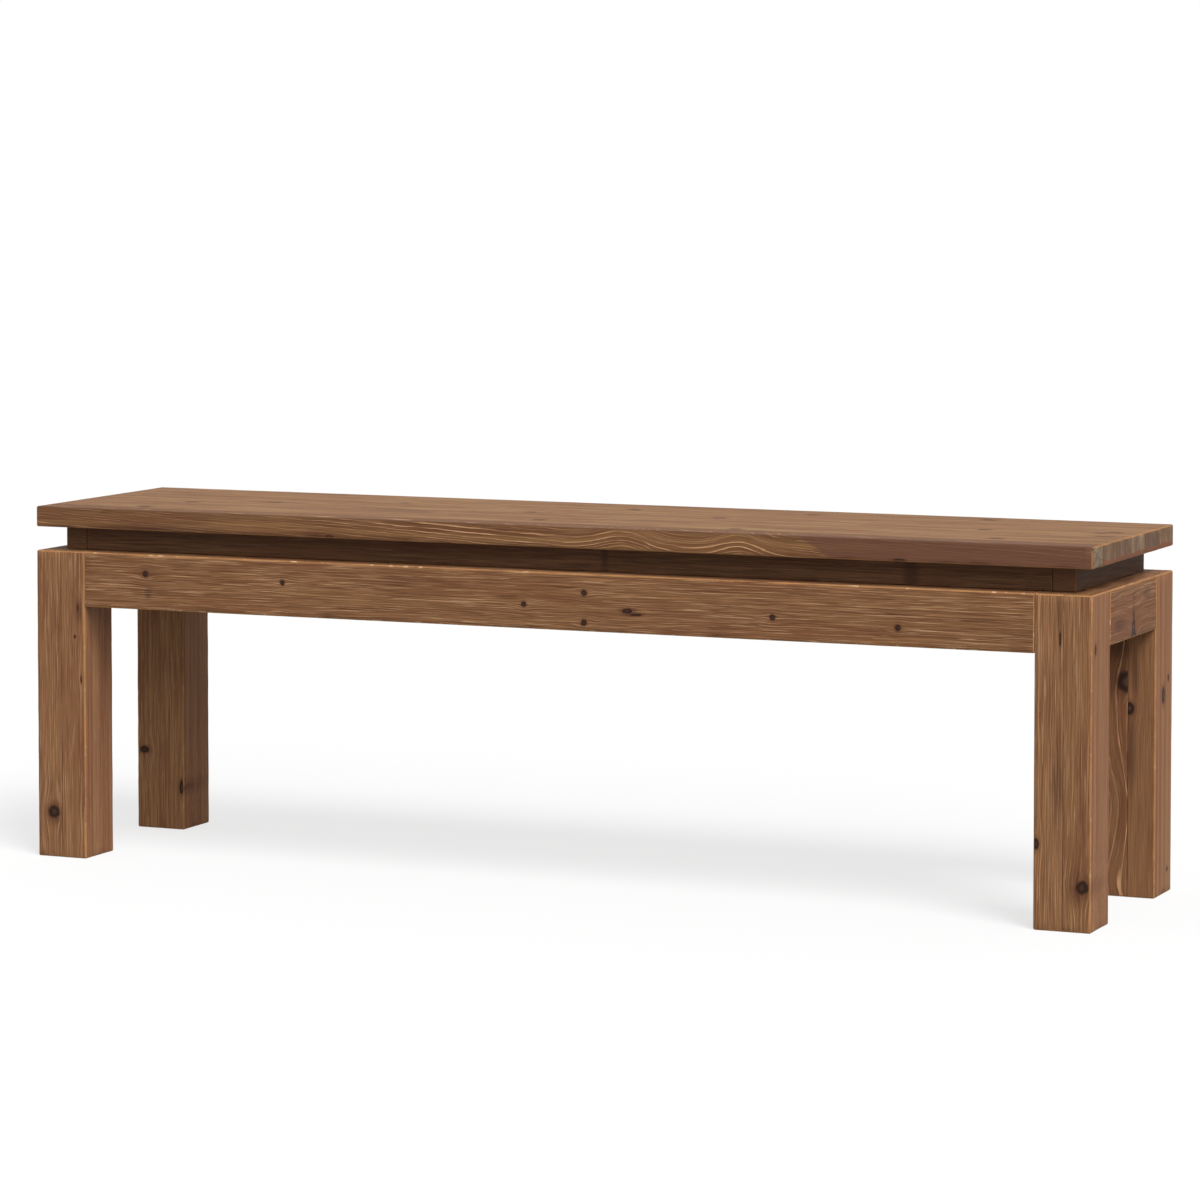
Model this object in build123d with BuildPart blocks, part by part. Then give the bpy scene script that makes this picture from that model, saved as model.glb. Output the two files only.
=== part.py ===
from build123d import *
import os
from math import sqrt

# Rustic dining bench in solid pine: an edge-glued seat floats over an inset ring of spacer rails, which
# stands on aprons flush with four square legs.
# Millimetres, X along the bench, front at -Y, Z up, origin on the floor.

# Overall form
bench_length = 1500.0
bench_depth = 350.0
seat_thickness = 28.0
leg_size = 75.0
leg_height = 420.0
edge_ease = 1.5
joint_ease = 0.8

# The seat is six staves glued edge to edge, the front one trimmed narrow: where each glue line lies
stave_joint_shares = (0.0, 0.12, 0.29, 0.46, 0.63, 0.81, 1.0)

# Ring of rails that leaves the shadow gap under the seat
spacer_height = 32.0
spacer_inset = 30.0
spacer_rail_width = 32.0

# Aprons between the legs, and the cross rails that tie the long ones together
long_apron_height = 75.0
end_apron_height = 70.0
apron_thickness = 45.0
cross_rail_width = 45.0
cross_rail_height = 45.0
cross_rail_place_share = 0.15

# Stub tenons that locate the aprons in the legs, and the cross rails in the aprons
tenon_length = 30.0
tenon_thickness = 15.0
tenon_shoulder = 10.0
rail_tenon_length = 12.0
mortise_clearance = 0.1
mortise_end_gap = 0.5

# Corner braces: mitred blocks with a tongue at each end, let into grooves in the aprons
brace_thickness = 28.0
brace_height = 60.0
brace_drop = 5.0
brace_gap = 3.0
tongue_thickness = 6.0
tongue_depth = 8.0
tongue_setback = 6.0
groove_clearance = 0.15

# Flat on each leg's inner corner, where a hanger bolt enters it
leg_flat = 10.0
leg_flat_height = 80.0
bolt_diameter = 8.0
bolt_depth_in_leg = 40.0
bolt_tail = 5.0
bolt_clearance = 0.5
thread_clearance = 0.1
washer_diameter = 24.0
washer_thickness = 2.0
nut_width = 13.0
nut_height = 6.5

# Wood screws of one gauge: flat heads in the ring, and pan heads sunk in the cross rails
screw_diameter = 4.5
screw_head_diameter = 9.0
pan_head_height = 3.0
countersink_angle = 90.0
screw_clearance = 0.1
hole_end_gap = 1.0
screw_bite = 18.0
rail_screw_recess = 15.0

# Where the screws lie along the bench and across it
ring_screw_shares = (-0.28, 0.28)
end_screw_share = 0.0
rail_screw_shares = (-0.2, 0.2)

# How far a cutter runs past the face that it opens
overrun = 5.0

# Levels and lengths that follow
frame_top = leg_height
seat_bottom = frame_top + spacer_height
long_apron_length = bench_length - 2 * leg_size
end_apron_length = bench_depth - 2 * leg_size
ring_length = bench_length - 2 * spacer_inset
ring_depth = bench_depth - 2 * spacer_inset
long_rail_length = ring_length - 2 * spacer_rail_width
batten_length = ring_depth - 2 * spacer_rail_width
cross_rail_length = bench_depth - 2 * apron_thickness
cross_rail_x = cross_rail_place_share * bench_length
cross_rail_bottom = frame_top - cross_rail_height
apron_middle = (bench_depth - apron_thickness) / 2
apron_inner = bench_depth / 2 - apron_thickness
end_apron_middle = (bench_length - apron_thickness) / 2
end_apron_inner = bench_length / 2 - apron_thickness

# A corner's plan is measured in from the bench's two outer faces there. A line across the corner at
# 45 degrees is named by the sum of the two distances, which is the same all along it.
diagonal = sqrt(2)
flat_line = 2 * leg_size - leg_flat
brace_outer_line = flat_line + brace_gap * diagonal
brace_inner_line = brace_outer_line + brace_thickness * diagonal
brace_near = brace_outer_line - apron_thickness
tongue_near = brace_near + tongue_setback
groove_x = bench_length / 2 - tongue_near - tongue_thickness / 2
groove_y = bench_depth / 2 - tongue_near - tongue_thickness / 2
brace_level = frame_top - brace_drop - brace_height / 2

# The ring's screws run up into the seat through the part of each rail that clears the aprons
ring_screw_in = (apron_thickness + spacer_inset + spacer_rail_width) / 2

SIDES = (-1, 1)
UP = (0, 0, 1)
CORNERS = {
    "front_left": (-1, -1),
    "front_right": (1, -1),
    "back_left": (-1, 1),
    "back_right": (1, 1),
}


def drive(x, y, z, direction):
    """A place from which a hole or a fastener runs in the given direction."""
    return Plane(origin=(x, y, z), z_dir=Vector(*direction) * -1).location


def from_corner(across, inward, side, face):
    """A point of the plan, measured in from the two outer faces of the corner at those signs."""
    return (side * (bench_length / 2 - across), face * (bench_depth / 2 - inward))


def front_left(across, inward):
    """A point of the front left corner's plan."""
    return from_corner(across, inward, *CORNERS["front_left"])


def to_corner(shape, side, face):
    """A shape made for the front left corner, mirrored into another one."""
    if side > 0:
        shape = mirror(shape, about=Plane.YZ)
    if face > 0:
        shape = mirror(shape, about=Plane.XZ)
    return shape


def keep(shape, name):
    """Labels a finished piece and writes it."""
    shape.label = name
    export_step(shape, f"parts/{name}.step")


def turned(*outline):
    """A solid of revolution about Z, from the half outline given as (radius, height) points."""
    with BuildPart() as solid:
        with BuildSketch(Plane.XZ):
            with BuildLine():
                Polyline(*outline, close=True)
            make_face()
        revolve(axis=Axis.Z)
    return solid.part


def keep_group(shape, places, name):
    """Writes one node of like pieces, a separate solid at each place."""
    with BuildPart() as group:
        with Locations(places):
            add(shape)
    keep(group.part, name)


# Places of the screws and bolts, each used for the fastener and for its holes
ring_screw_spots = [
    (share * bench_length, side * (bench_depth / 2 - ring_screw_in))
    for side in SIDES
    for share in ring_screw_shares
]
end_screw_spots = [
    (side * (bench_length / 2 - ring_screw_in), end_screw_share * bench_depth) for side in SIDES
]
rail_screw_spots = [
    (side * cross_rail_x, share * bench_depth) for side in SIDES for share in rail_screw_shares
]
ring_screw_heads = [drive(x, y, frame_top, UP) for x, y in ring_screw_spots + end_screw_spots]
rail_screw_heads = [
    drive(x, y, cross_rail_bottom + rail_screw_recess, UP) for x, y in rail_screw_spots
]


def on_the_diagonals(line):
    """The bolt's place in every corner, where it crosses the given 45-degree line on its way to the leg."""
    return [
        drive(*from_corner(line / 2, line / 2, side, face), brace_level, (side, face, 0))
        for side, face in CORNERS.values()
    ]


os.makedirs("parts", exist_ok=True)

# Seat panel, drilled from below and eased as one, then parted at its glue lines
with BuildPart() as seat:
    with Locations((0, 0, seat_bottom)):
        Box(bench_length, bench_depth, seat_thickness, align=(Align.CENTER, Align.CENTER, Align.MIN))
    chamfer(seat.edges(), edge_ease)
    with Locations(
        [drive(x, y, seat_bottom, UP) for x, y in ring_screw_spots + end_screw_spots + rail_screw_spots]
    ):
        Hole(screw_diameter / 2 + screw_clearance, depth=screw_bite + hole_end_gap)

for number, (near, far) in enumerate(zip(stave_joint_shares, stave_joint_shares[1:]), start=1):
    with BuildPart() as stave:
        add(seat.part)
        with Locations((0, ((near + far) / 2 - 0.5) * bench_depth, seat_bottom)):
            Box(
                bench_length + overrun,
                (far - near) * bench_depth,
                seat_thickness,
                align=(Align.CENTER, Align.CENTER, Align.MIN),
                mode=Mode.INTERSECT,
            )
    keep(stave.part, f"seat_stave_{number}")


def bore_ring_rail():
    """Bores the rail being built for the flat-headed screws that run up through it into the seat."""
    with Locations(ring_screw_heads):
        CounterSinkHole(
            screw_diameter / 2 + screw_clearance,
            screw_head_diameter / 2 + screw_clearance,
            counter_sink_angle=countersink_angle,
        )


# Spacer ring: the end rails run the full depth, and the long rails butt between them
with BuildPart() as end_spacer:
    with Locations(((spacer_rail_width - ring_length) / 2, 0, frame_top)):
        Box(spacer_rail_width, ring_depth, spacer_height, align=(Align.CENTER, Align.CENTER, Align.MIN))
    chamfer(end_spacer.edges(), joint_ease)
    bore_ring_rail()
keep(end_spacer.part, "spacer_rail_left")
keep(mirror(end_spacer.part, about=Plane.YZ), "spacer_rail_right")

with BuildPart() as long_spacer:
    with Locations((0, (spacer_rail_width - ring_depth) / 2, frame_top)):
        Box(long_rail_length, spacer_rail_width, spacer_height, align=(Align.CENTER, Align.CENTER, Align.MIN))
    chamfer(long_spacer.edges(), joint_ease)
    bore_ring_rail()
keep(long_spacer.part, "spacer_rail_front")
keep(mirror(long_spacer.part, about=Plane.XZ), "spacer_rail_back")

# Battens across the ring, each over a cross rail
with BuildPart() as batten:
    with Locations((-cross_rail_x, 0, frame_top)):
        Box(cross_rail_width, batten_length, spacer_height, align=(Align.CENTER, Align.CENTER, Align.MIN))
    chamfer(batten.edges(), joint_ease)
    with Locations(rail_screw_heads):
        Hole(screw_diameter / 2 + screw_clearance)
keep(batten.part, "spacer_batten_left")
keep(mirror(batten.part, about=Plane.YZ), "spacer_batten_right")

def tenoned_board(length, width, height, tenon_reach, shoulder):
    """A board along X, its top at frame_top, with eased edges and a stub tenon centred on each end."""
    with BuildPart() as board:
        with Locations((0, 0, frame_top)):
            Box(length, width, height, align=(Align.CENTER, Align.CENTER, Align.MAX))
        chamfer(board.edges().filter_by(Axis.X), edge_ease)
        chamfer(board.faces().filter_by(Axis.X).edges(), joint_ease)
        with Locations((0, 0, frame_top - height / 2)):
            Box(length + 2 * tenon_reach, tenon_thickness, height - 2 * shoulder)
    return board.part


def mortise(reach, height, shoulder):
    """Cuts the part being built, at each current place, for a tenon that enters it along X on both sides."""
    Box(
        2 * (reach + mortise_end_gap),
        tenon_thickness + 2 * mortise_clearance,
        height - 2 * shoulder + 2 * mortise_clearance,
        mode=Mode.SUBTRACT,
    )


# Cross rails between the long aprons, counterbored from below for the long screws
with BuildPart() as cross_rail:
    with Locations(Location((-cross_rail_x, 0, 0), (0, 0, 90))):
        add(
            tenoned_board(
                cross_rail_length, cross_rail_width, cross_rail_height, rail_tenon_length, tenon_shoulder
            )
        )
    with Locations([drive(x, y, cross_rail_bottom, UP) for x, y in rail_screw_spots]):
        CounterBoreHole(
            screw_diameter / 2 + screw_clearance,
            screw_head_diameter / 2 + screw_clearance,
            rail_screw_recess,
        )
keep(cross_rail.part, "cross_rail_left")
keep(mirror(cross_rail.part, about=Plane.YZ), "cross_rail_right")

# Long aprons: tenoned to the legs, mortised for the cross rails and grooved inside for the braces
with BuildPart() as long_apron:
    with Locations((0, -apron_middle)):
        add(
            tenoned_board(
                long_apron_length, apron_thickness, long_apron_height, tenon_length, tenon_shoulder
            )
        )
    for side in SIDES:
        with Locations((side * groove_x, -apron_inner, frame_top)):
            Box(
                tongue_thickness + 2 * groove_clearance,
                2 * (tongue_depth + groove_clearance),
                2 * (long_apron_height + overrun),
                mode=Mode.SUBTRACT,
            )
        rail_end = (side * cross_rail_x, -apron_inner, frame_top - cross_rail_height / 2)
        with Locations(Location(rail_end, (0, 0, 90))):
            mortise(rail_tenon_length, cross_rail_height, tenon_shoulder)
keep(long_apron.part, "apron_front")
keep(mirror(long_apron.part, about=Plane.XZ), "apron_back")

# End aprons: slightly lower boards, with the same tenons and grooves
with BuildPart() as end_apron:
    with Locations(Location((-end_apron_middle, 0, 0), (0, 0, 90))):
        add(
            tenoned_board(
                end_apron_length, apron_thickness, end_apron_height, tenon_length, tenon_shoulder
            )
        )
    with Locations([(-end_apron_inner, side * groove_y, frame_top) for side in SIDES]):
        Box(
            2 * (tongue_depth + groove_clearance),
            tongue_thickness + 2 * groove_clearance,
            2 * (end_apron_height + overrun),
            mode=Mode.SUBTRACT,
        )
keep(end_apron.part, "apron_left")
keep(mirror(end_apron.part, about=Plane.YZ), "apron_right")

# Legs: mortised and bored as one post, then parted at the glue line half way across
leg_x, leg_y = front_left(leg_size / 2, leg_size / 2)
with BuildPart() as leg:
    with Locations((leg_x, leg_y)):
        Box(leg_size, leg_size, leg_height, align=(Align.CENTER, Align.CENTER, Align.MIN))
    chamfer(leg.edges(), edge_ease)
    with BuildSketch(Plane.XY.offset(frame_top - leg_flat_height)):
        with BuildLine():
            Polyline(
                front_left(flat_line - leg_size - overrun, leg_size + overrun),
                front_left(leg_size + overrun, flat_line - leg_size - overrun),
                front_left(leg_size + overrun, leg_size + overrun),
                close=True,
            )
        make_face()
    extrude(amount=leg_flat_height + overrun, mode=Mode.SUBTRACT)
    with Locations(on_the_diagonals(flat_line)):
        Hole(bolt_diameter / 2 + thread_clearance, depth=bolt_depth_in_leg + hole_end_gap)
    long_end = (-long_apron_length / 2, -apron_middle, frame_top - long_apron_height / 2)
    with Locations(long_end):
        mortise(tenon_length, long_apron_height, tenon_shoulder)
    short_end = (-end_apron_middle, -end_apron_length / 2, frame_top - end_apron_height / 2)
    with Locations(Location(short_end, (0, 0, 90))):
        mortise(tenon_length, end_apron_height, tenon_shoulder)

for half, side in (("outer", -1), ("inner", 1)):
    with BuildPart() as leg_stave:
        add(leg.part)
        with Locations((leg_x + side * leg_size / 4, leg_y)):
            Box(
                leg_size / 2,
                leg_size,
                leg_height,
                align=(Align.CENTER, Align.CENTER, Align.MIN),
                mode=Mode.INTERSECT,
            )
    for corner, signs in CORNERS.items():
        keep(to_corner(leg_stave.part, *signs), f"leg_{corner}_{half}_stave")

# Corner brace: tongued at both ends and bored for the bolt
with BuildPart() as brace:
    with BuildSketch(Plane.XY.offset(brace_level)):
        with BuildLine():
            Polyline(
                front_left(brace_near, apron_thickness),
                front_left(tongue_near, apron_thickness),
                front_left(tongue_near, apron_thickness - tongue_depth),
                front_left(tongue_near + tongue_thickness, apron_thickness - tongue_depth),
                front_left(tongue_near + tongue_thickness, apron_thickness),
                front_left(brace_inner_line - apron_thickness, apron_thickness),
                front_left(apron_thickness, brace_inner_line - apron_thickness),
                front_left(apron_thickness, tongue_near + tongue_thickness),
                front_left(apron_thickness - tongue_depth, tongue_near + tongue_thickness),
                front_left(apron_thickness - tongue_depth, tongue_near),
                front_left(apron_thickness, tongue_near),
                front_left(apron_thickness, brace_near),
                close=True,
            )
        make_face()
    extrude(amount=brace_height / 2, both=True)
    with Locations(on_the_diagonals(brace_inner_line)):
        Hole(bolt_diameter / 2 + bolt_clearance, depth=brace_thickness + overrun)
for corner, signs in CORNERS.items():
    keep(to_corner(brace.part, *signs), f"corner_brace_{corner}")

# Hanger bolts with their washers and nuts, which draw each leg up to its brace
bolt_radius = bolt_diameter / 2
bolt_reach = (brace_inner_line - flat_line) / diagonal + washer_thickness + nut_height + bolt_tail
hanger_bolt = turned(
    (0, -bolt_depth_in_leg),
    (bolt_radius, -bolt_depth_in_leg),
    (bolt_radius, bolt_reach),
    (0, bolt_reach),
)
keep_group(hanger_bolt, on_the_diagonals(flat_line), "hanger_bolts")

washer = turned(
    (bolt_radius + thread_clearance, 0),
    (washer_diameter / 2, 0),
    (washer_diameter / 2, washer_thickness),
    (bolt_radius + thread_clearance, washer_thickness),
)
keep_group(washer, on_the_diagonals(brace_inner_line), "brace_washers")

with BuildPart() as nut:
    with BuildSketch():
        RegularPolygon(nut_width / 2, 6, major_radius=False)
        Circle(bolt_radius + thread_clearance, mode=Mode.SUBTRACT)
    extrude(amount=nut_height)
keep_group(nut.part, on_the_diagonals(brace_inner_line + washer_thickness * diagonal), "brace_nuts")

# Wood screws: flat heads let into the ring's underside, and pan heads at the bottom of the cross rails' bores
shank_radius = screw_diameter / 2
head_radius = screw_head_diameter / 2
ring_screw_length = spacer_height + screw_bite
ring_screw = turned(
    (0, 0),
    (head_radius, 0),
    (shank_radius, shank_radius - head_radius),
    (shank_radius, -ring_screw_length),
    (0, -ring_screw_length),
)
keep_group(ring_screw, ring_screw_heads, "seat_screws")

rail_screw_length = cross_rail_height - rail_screw_recess + spacer_height + screw_bite
rail_screw = turned(
    (0, pan_head_height),
    (head_radius, pan_head_height),
    (head_radius, 0),
    (shank_radius, 0),
    (shank_radius, -rail_screw_length),
    (0, -rail_screw_length),
)
keep_group(rail_screw, rail_screw_heads, "cross_rail_screws")
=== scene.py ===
from math import cos, radians
from random import Random

import bmesh
import bpy
from mathutils import Euler, Matrix, Vector, noise


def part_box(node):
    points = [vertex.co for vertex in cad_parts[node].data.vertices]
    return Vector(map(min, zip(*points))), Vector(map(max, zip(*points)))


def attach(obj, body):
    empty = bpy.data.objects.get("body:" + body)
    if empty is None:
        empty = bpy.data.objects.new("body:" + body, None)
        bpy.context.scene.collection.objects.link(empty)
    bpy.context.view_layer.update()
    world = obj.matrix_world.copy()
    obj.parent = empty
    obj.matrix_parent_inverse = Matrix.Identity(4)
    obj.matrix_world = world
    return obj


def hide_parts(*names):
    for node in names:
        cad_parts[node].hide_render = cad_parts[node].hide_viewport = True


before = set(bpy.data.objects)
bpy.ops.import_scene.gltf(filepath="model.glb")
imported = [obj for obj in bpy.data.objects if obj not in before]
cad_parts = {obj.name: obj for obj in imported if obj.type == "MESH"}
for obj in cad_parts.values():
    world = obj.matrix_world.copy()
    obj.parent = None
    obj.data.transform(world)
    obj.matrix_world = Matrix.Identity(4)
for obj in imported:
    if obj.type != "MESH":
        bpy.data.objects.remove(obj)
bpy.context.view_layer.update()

# Legs: each is two pine boards glued face to face and planed to a 75 mm square, wire brushed, stained
# walnut brown and waxed dull. The glue line runs up the front and the back of every leg.

MM = 0.001
MATH, VECTOR_MATH = "ShaderNodeMath", "ShaderNodeVectorMath"
MAP_RANGE, MIX = "ShaderNodeMapRange", "ShaderNodeMix"


def linear(hex_colour):
    """A colour written as sRGB hex, as linear RGBA."""
    shares = [int(hex_colour[i : i + 2], 16) / 255 for i in (1, 3, 5)]
    return (*[c / 12.92 if c <= 0.04045 else ((c + 0.055) / 1.055) ** 2.4 for c in shares], 1.0)


def node(tree, kind, sockets=(), gives=0, **settings):
    """Adds a node with its settings and links, and returns the output that it gives. Each socket is given
    a value, the output that feeds it, or a list of the outputs that feed it."""
    made = tree.nodes.new(kind)
    for key, value in settings.items():
        setattr(made, key, value)
    for key, value in dict(sockets).items():
        feeds = value if isinstance(value, list) else [value]
        if isinstance(feeds[0], bpy.types.NodeSocket):
            for feed in feeds:
                tree.links.new(feed, made.inputs[key])
        else:
            made.inputs[key].default_value = value
    return made.outputs[gives] if made.outputs else made


def new_group(name, takes, gives, kind="ShaderNodeTree"):
    """A node group with named sockets, and what it is given."""
    tree = bpy.data.node_groups.new(name, kind)
    for in_out, sockets in (("INPUT", takes), ("OUTPUT", gives)):
        for socket, what in sockets.items():
            tree.interface.new_socket(socket, in_out=in_out, socket_type="NodeSocket" + what)
    return tree, node(tree, "NodeGroupInput").node.outputs


# A branch that crosses the board: the fibres part round it, and Near is 1 at the rim of its knot
branch, given = new_group(
    "pine_branch",
    {"Point": "Vector", "Moved": "Vector", "Near": "Float", "Place": "Vector", "Spread": "Vector",
     "Reach": "Vector", "Part": "Float", "Swell": "Vector"},
    {"Moved": "Vector", "Near": "Float"},
)
away = node(branch, VECTOR_MATH, {0: given["Point"], 1: given["Place"]}, operation="SUBTRACT")
knot = node(branch, VECTOR_MATH, {0: away, 1: given["Spread"]}, operation="MULTIPLY")
knot = node(branch, VECTOR_MATH, {0: knot}, "Value", operation="LENGTH")
near = node(branch, MATH, {0: knot, 1: given["Near"]}, operation="MINIMUM")
field = node(branch, VECTOR_MATH, {0: away, 1: given["Reach"]}, operation="MULTIPLY")
field = node(branch, VECTOR_MATH, {0: field, 1: field}, "Value", operation="DOT_PRODUCT")
field = node(branch, MATH, {0: field, 1: -1.0}, operation="MULTIPLY")
field = node(branch, MATH, {0: field}, operation="EXPONENT")
parted = node(branch, MATH, {0: field, 1: given["Part"]}, operation="MULTIPLY")
parted = node(branch, VECTOR_MATH, {0: away, "Scale": parted}, operation="SCALE")
parted = node(branch, VECTOR_MATH, {0: parted, 1: (0.0, -1.0, -1.0)}, operation="MULTIPLY")
swollen = node(branch, VECTOR_MATH, {0: given["Swell"], "Scale": field}, operation="SCALE")
moved = given["Moved"]
for change in (parted, swollen):
    moved = node(branch, VECTOR_MATH, {0: moved, 1: change}, operation="ADD")
node(branch, "NodeGroupOutput", {"Moved": moved, "Near": near})


def drawn_out(tree, where, lengths, seed_from, add_to_seed, detail=2.0, rough=0.5, gives="Fac"):
    """Noise whose features are as long as given along X, Y and Z, in millimetres."""
    drawn = node(tree, VECTOR_MATH, {0: where, 1: [1 / (MM * length) for length in lengths]},
                 operation="MULTIPLY")
    shifted = node(tree, MATH, {0: seed_from, 1: add_to_seed}, operation="ADD")
    return node(tree, "ShaderNodeTexNoise", {"Vector": drawn, "W": shifted, "Scale": 1.0, "Detail": detail,
                                             "Roughness": rough}, gives, noise_dimensions="4D")


# The tree's rings cut by the saw, and the fibres that the wire brush has combed. Point has the grain on X.
rings, given = new_group(
    "pine_rings",
    {"Point": "Vector", "Moved": "Vector", "Pith": "Vector", "Lean": "Vector", "Ring": "Float",
     "Line": "Float", "Sway": "Float", "Seed": "Float"},
    {"Late": "Float", "Relief shade": "Float", "Fibre": "Float", "Comb": "Float", "Patch": "Float", "Tint": "Float"},
)
point, seed = given["Point"], given["Seed"]

# The pith line bends over 420 mm and wavers over 44 mm, and the ring count falls off from it
from_pith = given["Moved"]
for lengths, number, detail, reach in (((420, 75, 75), 0.0, 1.0, given["Sway"]),
                                       ((44, 8, 8), 11.0, 2.0, 4.5 * MM)):
    bend = drawn_out(rings, point, lengths, seed, number, detail, gives="Color")
    bend = node(rings, VECTOR_MATH, {0: bend, 1: (0.5, 0.5, 0.5)}, operation="SUBTRACT")
    bend = node(rings, VECTOR_MATH, {0: bend, "Scale": reach}, operation="SCALE")
    from_pith = node(rings, VECTOR_MATH, {0: from_pith, 1: bend}, operation="ADD")
along = node(rings, "ShaderNodeSeparateXYZ", {0: point})
leant = node(rings, VECTOR_MATH, {0: given["Lean"], "Scale": along}, operation="SCALE")
for line in (given["Pith"], leant):
    from_pith = node(rings, VECTOR_MATH, {0: from_pith, 1: line}, operation="SUBTRACT")
from_pith = node(rings, VECTOR_MATH, {0: from_pith, 1: (0.0, 1.0, 1.0)}, operation="MULTIPLY")
age = node(rings, VECTOR_MATH, {0: from_pith}, "Value", operation="LENGTH")
age = node(rings, MATH, {0: age, 1: given["Ring"]}, operation="DIVIDE")

# Slow years alternate with fast ones about every three, and every year has latewood of its own strength
slow = node(rings, MATH, {0: age, 1: 0.33}, operation="MULTIPLY")
slow = node(rings, "ShaderNodeTexNoise", {"W": slow, "Scale": 1.0, "Detail": 0.0}, "Fac",
            noise_dimensions="1D")
age = node(rings, MATH, {0: slow, 1: 2.2, 2: age}, operation="MULTIPLY_ADD")
year = node(rings, MATH, {0: age}, operation="FLOOR")
year = node(rings, MATH, {0: year, 1: seed}, operation="ADD")
year = node(rings, "ShaderNodeTexWhiteNoise", {"W": year}, "Value", noise_dimensions="1D")
strong = node(rings, MAP_RANGE, {0: year, 3: 0.3, 4: 1.0})

# Latewood stands where the year is 0.72 gone. Its line is counted in its own half widths.
past = node(rings, MATH, {0: age}, operation="FRACT")
for operation, by in (("SUBTRACT", 0.72), ("MULTIPLY", given["Ring"]), ("DIVIDE", given["Line"])):
    past = node(rings, MATH, {0: past, 1: by}, operation=operation)
aside = node(rings, MATH, {0: past}, operation="ABSOLUTE")
late = node(rings, MAP_RANGE, {0: aside, 1: 1.0, 2: 0.38}, interpolation_type="SMOOTHSTEP")
# A painted shade line runs along one side of each latewood line, for the shade beside the raised latewood
relief_shade = node(rings, MAP_RANGE, {0: past, 1: -2.75, 2: -0.88}, interpolation_type="SMOOTHSTEP")
behind = node(rings, MAP_RANGE, {0: past, 1: 0.0, 2: -0.75})
relief_shade = node(rings, MATH, {0: relief_shade, 1: behind}, operation="MULTIPLY")
figure = {"Late": late, "Relief shade": relief_shade}
for gives, line in figure.items():
    figure[gives] = node(rings, MATH, {0: line, 1: strong}, operation="MULTIPLY")
for gives, where, lengths, number, detail, rough in (
    ("Fibre", given["Moved"], (42, 1.3, 1.3), 3.0, 2.0, 0.6),
    ("Comb", given["Moved"], (130, 3.4, 3.4), 5.0, 1.0, 0.5),
    ("Patch", point, (210, 40, 40), 7.0, 2.0, 0.5),
    ("Tint", given["Moved"], (260, 9, 9), 9.0, 2.0, 0.5),
):
    figure[gives] = drawn_out(rings, where, lengths, seed, number, detail, rough)
node(rings, "NodeGroupOutput", figure)


def cleared(owner):
    """The node tree of a material or a world, emptied."""
    owner.use_nodes = True
    owner.node_tree.nodes.clear()
    return owner.node_tree


def laid_over(tree, colour, pattern, low, high, over, share=1.0):
    """Lays a second colour over the first where a pattern goes from low to high."""
    laid = node(tree, MAP_RANGE, {0: pattern, 1: low, 2: high, 4: share},
                interpolation_type="SMOOTHSTEP")
    over = linear(over) if isinstance(over, str) else over
    return node(tree, MIX, {0: laid, 6: colour, 7: over}, 2, data_type="RGBA")


ALONG_X = (0.0, 0.0, 0.0)
ALONG_Y = (0.0, 0.0, radians(-90))
ALONG_Z = (0.0, radians(90), 0.0)
FAR = 9.0  # farther from a knot than its halo reaches, in radii of the knot


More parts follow.
